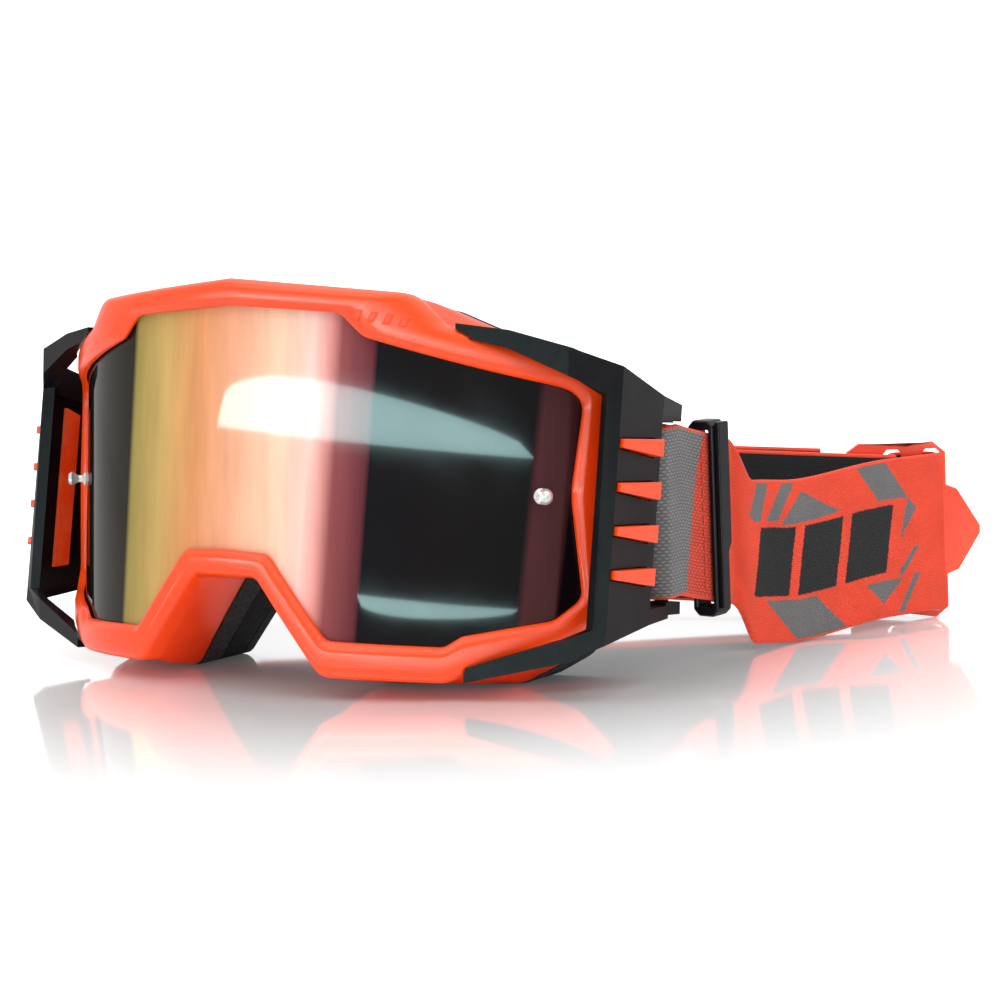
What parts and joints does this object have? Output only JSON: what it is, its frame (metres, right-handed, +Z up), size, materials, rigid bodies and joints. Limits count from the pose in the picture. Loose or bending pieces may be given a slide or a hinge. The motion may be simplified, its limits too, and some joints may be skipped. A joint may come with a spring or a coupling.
{
  "type": "sports goggles",
  "caption": "Wide-view sports goggles with a mirrored wrap lens, orange frame, black outriggers, foam face seal and an elastic strap lying folded through a rear plate.",
  "frame": {"origin": "on the ground, under the middle of the footprint", "axes": "+X towards the wearer's left, +Y towards the back of the head, +Z up; the goggles stand on their foam with the lens facing -Y"},
  "size_m": [0.2166, 0.1654, 0.0987],
  "materials": {
    "bezel": "satin",
    "gasket": "matte",
    "frame": "satin",
    "foam_base": "matte foam",
    "foam_middle": "matte foam",
    "foam_face": "soft fleece",
    "lens": "mirrored orange to dark",
    "post": "polished",
    "collar": "matte",
    "outrigger": "satin",
    "rib": "satin",
    "strap_mesh": "woven",
    "slider": "satin",
    "strap_print": "woven, printed",
    "buckle": "satin",
    "strap_inner": "woven"
  },
  "bodies": {
    "frame": {"front_bezel": "bezel", "lens_gasket": "gasket", "face_frame": "frame", "foam_base": "foam_base", "foam_middle": "foam_middle", "foam_face": "foam_face", "lens": "lens", "left_outrigger": "outrigger", "left_outrigger_liner": "rib", "left_outrigger_rib_1": "rib", "left_outrigger_rib_2": "rib", "left_outrigger_rib_3": "rib", "left_outrigger_rib_4": "rib", "right_outrigger": "outrigger", "right_outrigger_liner": "rib", "right_outrigger_rib_1": "rib", "right_outrigger_rib_2": "rib", "right_outrigger_rib_3": "rib", "right_outrigger_rib_4": "rib"},
    "left_post": {"left_tearoff_post": "post", "left_post_collar": "collar"},
    "right_post": {"right_tearoff_post": "post", "right_post_collar": "collar"},
    "strap_front": {"strap_left_loop": "strap_mesh"},
    "left_slider_body": {"left_slider": "slider"},
    "strap_near": {"strap_near_run": "strap_print", "rear_buckle": "buckle"},
    "strap_far": {"strap_far_run": "strap_inner", "strap_tail": "strap_inner", "strap_right_loop": "strap_mesh"},
    "right_slider_body": {"right_slider": "slider"}
  },
  "joints": [
    {"name": "strap_swing", "type": "hinge", "parent": "frame", "child": "strap_front", "pos_m": [0.0722, -0.0211, 0.0365], "axis": [0, 0, 1], "range_deg": [-8, 8]},
    {"name": "strap_fold", "type": "hinge", "parent": "strap_front", "child": "strap_near", "pos_m": [0.0742, 0.0124, 0.0365], "axis": [0, 0, 1], "range_deg": [-14, 14]},
    {"name": "rear_turn", "type": "hinge", "parent": "strap_near", "child": "strap_far", "pos_m": [0.0908, 0.0651, 0.0275], "axis": [0, 0, 1], "range_deg": [-5.5, 5.5]},
    {"name": "left_slider_slide", "type": "slide", "parent": "strap_front", "child": "left_slider_body", "axis": [0.0578, 0.9684, -0.2425], "range_m": [-0.003, 0.004]},
    {"name": "right_slider_slide", "type": "slide", "parent": "strap_far", "child": "right_slider_body", "axis": [0.7096, 0.6615, -0.2425], "range_m": [-0.003, 0.004]},
    {"name": "left_post_spin", "type": "hinge", "parent": "frame", "child": "left_post", "pos_m": [0.05994, -0.05198, 0.04587], "axis": [0.7408, -0.668, 0.0702], "continuous": true},
    {"name": "right_post_spin", "type": "hinge", "parent": "frame", "child": "right_post", "pos_m": [-0.08666, -0.05198, 0.04587], "axis": [-0.7408, -0.668, 0.0702], "continuous": true}
  ],
  "couplings": [
    {"joint": "strap_fold", "follows": "strap_swing", "ratio": -1.723},
    {"joint": "rear_turn", "follows": "strap_swing", "ratio": 0.6699}
  ]
}
